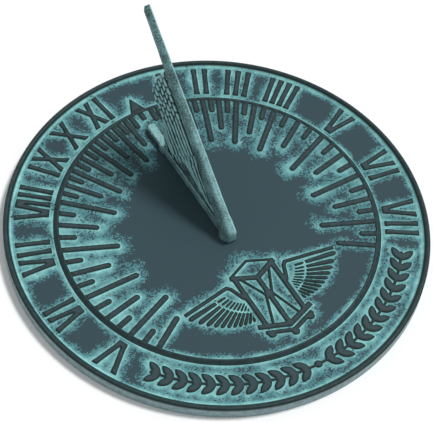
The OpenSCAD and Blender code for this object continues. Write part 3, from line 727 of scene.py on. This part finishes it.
def dress_gnomon(mesh):
    """Shapes the skin as the casting is, and gives its vertices the thickness of the wash."""
    points = vectors_of(mesh, "co") / MM
    normals = vectors_of(mesh, "normal")
    # The foot is one smooth flare in the casting, and every other edge is a little rounded
    to_foot = np.linalg.norm(points - np.array(FOOT_MIDDLE), axis=1)
    on_floor = points[:, 2] < FIELD_Z + 0.1
    at_foot = (1 - smooth(to_foot, *FLARE_REACH)) * ~on_floor
    points = soften(mesh, points, at_foot, FOOT_ROUNDS)
    points = soften(mesh, points, 1.0 * ~on_floor, EDGE_ROUNDS)
    along, below = style_place(points)
    under_style = below - style_depth(along)
    over_flange = points[:, 2] - FLANGE_TOP_Z
    wobble = np.array([noise.noise(Vector((a / WAVER_ALONG, b / WAVER_ACROSS, 0.3)))
                       for a, b in zip(along, below)])

    on_wing = (smooth(np.abs(normals[:, 0]), 0.3, 0.7) * smooth(under_style, 1.2, 2.4)
               * smooth(over_flange, 0.5, 1.6))
    # A smooth blade runs up from the foot beside the flange, and the feathers begin over it
    ahead_of_feathers = 1 - smooth(along, *TO_FEATHERS)
    over_blade = 1 - smooth(below_edge(along, below, BLADE_TOP), -0.6, 0.6)
    under_blade = smooth(below_edge(along, below, BLADE_FOOT), -0.4, 0.6) * ahead_of_feathers
    feathered = on_wing * smooth(along, 20, 28) * np.maximum(1 - ahead_of_feathers, over_blade)
    blade = on_wing * ahead_of_feathers * (1 - over_blade) * (1 - under_blade)
    form = barbs(along, below, wobble)
    depth = sizes().feather_depth / MM
    points[:, 0] += np.sign(points[:, 0]) * feathered * (form - BARB_ZERO) * depth
    lumps = np.array([noise.noise(Vector(p) / LUMP) for p in points])
    flare = at_foot * smooth(points[:, 2], FIELD_Z, FIELD_Z + 1.5)
    points += normals * (lumps * LUMP_H + FLARE_OUT * flare)[:, None]
    mesh.vertices.foreach_set("co", (points * MM).ravel())
    mesh.update()

    # Painted light and shade go into the wash: it is thin in the grooves as painted shade, and thick on
    # edges and crests and towards the nose as painted highlight
    flat = smooth(np.abs(normals[:, 0]), 0.5, 0.9)
    on_style = flat * (1 - smooth(under_style, 0.0, 0.8)) * smooth(below, 1.0, 2.5)
    groove = flat * smooth(under_style, -0.6, 0.4) * (1 - smooth(under_style, 1.6, 3.4))
    above_flange = flat * smooth(over_flange, -0.2, 0.4) * (1 - smooth(over_flange, 1.2, 3.0))
    east_edge = smooth(normals[:, 0], 0.25, 0.6) * smooth(normals[:, 2], 0.25, 0.6)
    rear_foot = smooth(points[:, 1], *HEEL_START) * (points[:, 2] < HEEL_TOP_Z)
    heel_crown = smooth(normals[:, 2], 0.6, 0.95) * (1 - smooth(np.abs(points[:, 0]), 1.8, 3.0))
    hollow = np.maximum(np.maximum(groove, above_flange), 0.5 * on_wing * under_blade)
    # Painted shade darkens the style's flanks, and a painted highlight lightens edges that face east and up
    wash = WASH_AND_SHADING["base"] - WASH_AND_SHADING["style"] * on_style + WASH_AND_SHADING["east_edge"] * east_edge
    # Painted light: faces that do not face sideways are lightened, less and less far up the style, and a
    # little darker at its far end
    wash += (WASH_AND_SHADING["top"] - WASH_AND_SHADING["top_far"] * smooth(along, 45, 80)) * (1 - flat)
    # Painted shade: the groove under the style, the crease over the flange and the strip under the blade
    # are darkened, except at the foot
    wash -= WASH_AND_SHADING["groove"] * hollow * (1 - at_foot)
    # Painted highlight on the barbs' crests and painted shade between them; the blade is paler
    wash += feathered * WASH_AND_SHADING["barb"] * (form - BARB_HIGHLIGHT) + blade * WASH_AND_SHADING["blade"]
    # On the rear foot: a painted highlight on its upward crown and painted shade on the rest
    wash += rear_foot * (WASH_AND_SHADING["heel_crown"] * heel_crown - WASH_AND_SHADING["heel"])
    # The attribute keeps the name wash, though it also holds the painted light and shade
    attribute = mesh.attributes.new("wash", "FLOAT", "POINT")
    attribute.data.foreach_set("value", wash.astype(np.float32))


def build_gnomon(material):
    """The gnomon: style bar, feathered wing, flange and feet in one casting."""
    piece = skin_gnomon()
    mesh = piece.data
    dress_gnomon(mesh)
    for polygon in mesh.polygons:
        polygon.use_smooth = True
    mesh.materials.clear()
    mesh.materials.append(material)
    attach(piece, "root")
    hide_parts("gnomon")
    return piece


def build_camera():
    """Camera at the photograph's angle: its place, its frame's axes and its lens."""
    place = Vector((-343.77, -461.98, 805.28)) * MM
    turn, tilt, roll = -2.21053, 0.945038, -0.122032
    photo_w, photo_h = 433, 422
    focal, middle_x, middle_y = 1655.85, 218.32, 221.72
    ahead = Vector((-math.cos(turn) * math.cos(tilt), -math.sin(turn) * math.cos(tilt), -math.sin(tilt)))
    level = Vector((-math.sin(turn), math.cos(turn), 0))
    down = ahead.cross(level)
    right = math.cos(roll) * level + math.sin(roll) * down
    up = -(math.cos(roll) * down - math.sin(roll) * level)
    data = bpy.data.cameras.new("Camera")
    data.sensor_width = 36
    data.lens = focal / photo_w * data.sensor_width
    data.shift_x = (photo_w / 2 - middle_x) / photo_w
    data.shift_y = (middle_y - photo_h / 2) / photo_w
    data.clip_start, data.clip_end = 0.05, 20
    camera = bpy.data.objects.new("Camera", data)
    axes = Matrix((right, up, -ahead)).transposed().to_4x4()
    camera.matrix_world = Matrix.Translation(place) @ axes
    bpy.context.scene.collection.objects.link(camera)
    bpy.context.scene.camera = camera


def add_sun(name, turn, height, softness, strength):
    """Far lamp from a compass turn and a height above the horizon, in degrees."""
    data = bpy.data.lights.new(name, "SUN")
    data.angle = math.radians(softness)
    data.energy = strength
    lamp = bpy.data.objects.new(name, data)
    a, e = math.radians(turn), math.radians(height)
    toward = Vector((math.sin(a) * math.cos(e), math.cos(a) * math.cos(e), math.sin(e)))
    lamp.rotation_mode = "QUATERNION"
    lamp.rotation_quaternion = toward.to_track_quat("Z", "Y")
    bpy.context.scene.collection.objects.link(lamp)


def build_world(level):
    """Even room light, with white behind the sundial for the camera and for reflections."""
    world = bpy.data.worlds.new("Studio")
    bpy.context.scene.world = world
    world.use_nodes = True
    tree = world.node_tree
    tree.nodes.clear()
    path = add_node(tree, "ShaderNodeLightPath")
    seen = add_node(tree, "ShaderNodeMath", {0: path.outputs["Is Camera Ray"],
                                             1: path.outputs["Is Glossy Ray"]}, operation="MAXIMUM")
    seen = add_node(tree, "ShaderNodeMath", {0: seen, 1: path.outputs["Is Transmission Ray"]},
                    operation="MAXIMUM")
    room = add_node(tree, "ShaderNodeBackground", {"Color": (1, 1, 1, 1), "Strength": level})
    white = add_node(tree, "ShaderNodeBackground", {"Color": (1, 1, 1, 1), "Strength": 1.0})
    both = add_node(tree, "ShaderNodeMixShader", {0: seen, 1: room, 2: white})
    add_node(tree, "ShaderNodeOutputWorld", {"Surface": both})


class SUNDIAL_OT_dial_plate(bpy.types.Operator):
    """Build the dial plate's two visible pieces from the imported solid"""
    bl_idname = "sundial.dial_plate"
    bl_label = "Dial plate"

    def execute(self, context):
        surface = CastSurface()
        materials = [plate_material(), bare_material()]
        for piece in (build_field(surface, materials), build_band(surface, materials)):
            paint_underside(piece)
        return {"FINISHED"}


class SUNDIAL_OT_gnomon(bpy.types.Operator):
    """Build the gnomon with its feathered wing"""
    bl_idname = "sundial.gnomon"
    bl_label = "Gnomon"

    def execute(self, context):
        build_gnomon(gnomon_material())
        return {"FINISHED"}


class SUNDIAL_OT_fasteners(bpy.types.Operator):
    """Give the screws and lock washers their zinc plating"""
    bl_idname = "sundial.fasteners"
    bl_label = "Screws and washers"

    def execute(self, context):
        zinc = zinc_material()
        for name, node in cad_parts.items():
            if name.startswith(("gnomon_screw", "lock_washer")):
                for slot in node.material_slots:
                    slot.material = zinc
        return {"FINISHED"}


class SUNDIAL_OT_stage(bpy.types.Operator):
    """Set the floor, the lamps and the camera"""
    bl_idname = "sundial.stage"
    bl_label = "Stage"

    def execute(self, context):
        bm = bmesh.new()
        bmesh.ops.create_circle(bm, cap_ends=True, radius=FLOOR_R, segments=64)
        mesh = bpy.data.meshes.new("studio_floor")
        bm.to_mesh(mesh)
        bm.free()
        mesh.materials.append(paper_material())
        floor = bpy.data.objects.new("studio_floor", mesh)
        floor.location.z = -FLOOR_DROP
        context.scene.collection.objects.link(floor)
        add_sun("Key", **KEY)
        build_world(ROOM_LEVEL)
        build_camera()
        context.scene.view_settings.view_transform = "Standard"
        return {"FINISHED"}


class SUNDIAL_PT_build(bpy.types.Panel):
    """Lists the sundial's build steps, sizes and colours"""
    bl_idname = "SUNDIAL_PT_build"
    bl_label = "Cast-iron sundial"
    bl_space_type = "VIEW_3D"
    bl_region_type = "UI"
    bl_category = "Sundial"

    def draw(self, context):
        for operator in BUILD_ORDER:
            self.layout.operator(operator.bl_idname)
        for group in (context.scene.sundial_sizes, context.scene.sundial_colours):
            column = self.layout.column()
            for key in group.bl_rna.properties.keys():
                if key not in ("rna_type", "name"):
                    column.prop(group, key)


BUILD_ORDER = (SUNDIAL_OT_stage, SUNDIAL_OT_dial_plate, SUNDIAL_OT_gnomon, SUNDIAL_OT_fasteners)
CLASSES = (SundialSizes, SundialColours) + BUILD_ORDER + (SUNDIAL_PT_build,)


def register():
    for cls in CLASSES:
        bpy.utils.register_class(cls)
    bpy.types.Scene.sundial_sizes = bpy.props.PointerProperty(type=SundialSizes)
    bpy.types.Scene.sundial_colours = bpy.props.PointerProperty(type=SundialColours)


def unregister():
    del bpy.types.Scene.sundial_colours
    del bpy.types.Scene.sundial_sizes
    for cls in reversed(CLASSES):
        bpy.utils.unregister_class(cls)


def main():
    register()
    bpy.ops.sundial.stage()
    bpy.ops.sundial.dial_plate()
    bpy.ops.sundial.gnomon()
    bpy.ops.sundial.fasteners()


if __name__ == "__main__":
    main()
